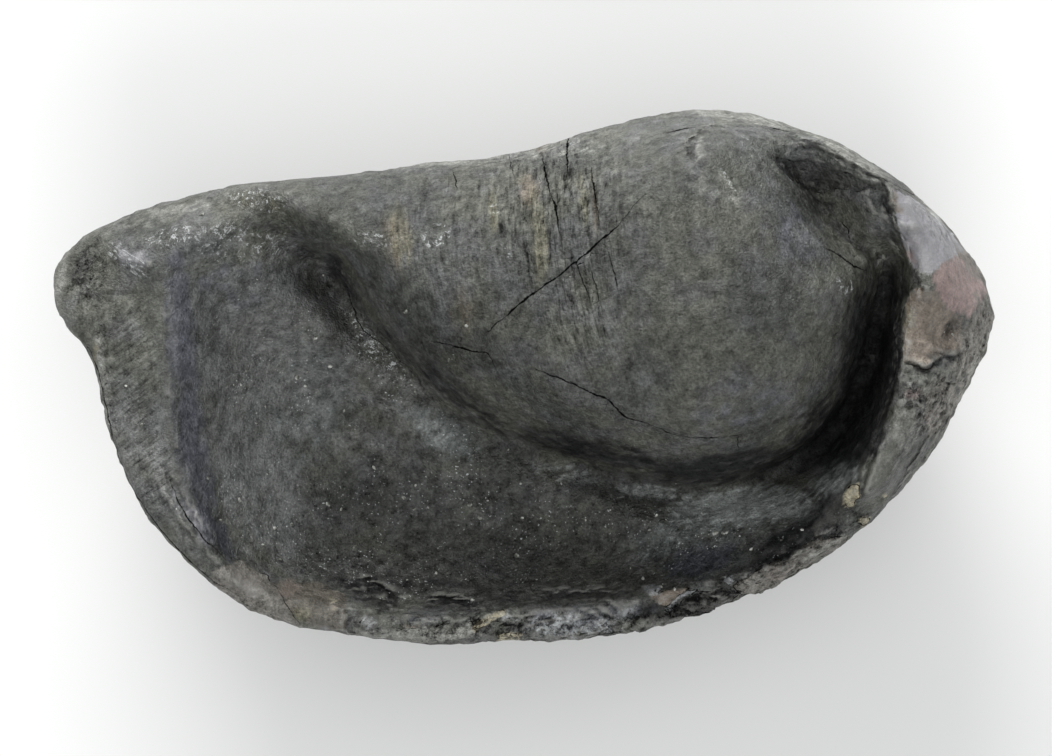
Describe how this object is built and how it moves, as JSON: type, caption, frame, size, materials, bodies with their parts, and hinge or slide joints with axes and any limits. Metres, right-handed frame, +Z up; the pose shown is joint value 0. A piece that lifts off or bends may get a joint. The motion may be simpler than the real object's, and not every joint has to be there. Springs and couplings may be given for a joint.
{
  "type": "fossil whale ear bone",
  "caption": "Fossil ear bone of a baleen whale: a thick rolled inner side ending in a dome, over an open hollow with a thin broken rim. Lies on a worn flat.",
  "frame": {"origin": "centre of the bounding box's underside, on the surface that the bone rests on", "axes": "+X from the narrow front end towards the broad rear end with the dome, +Y towards the thick inner side, +Z up out of the open hollow"},
  "size_m": [0.0903, 0.0512, 0.0386],
  "materials": {
    "petrified_bone": "petrified bone, dark grey with a dull polish"
  },
  "bodies": {
    "root": {"ear_bone": "petrified_bone"}
  },
  "joints": []
}
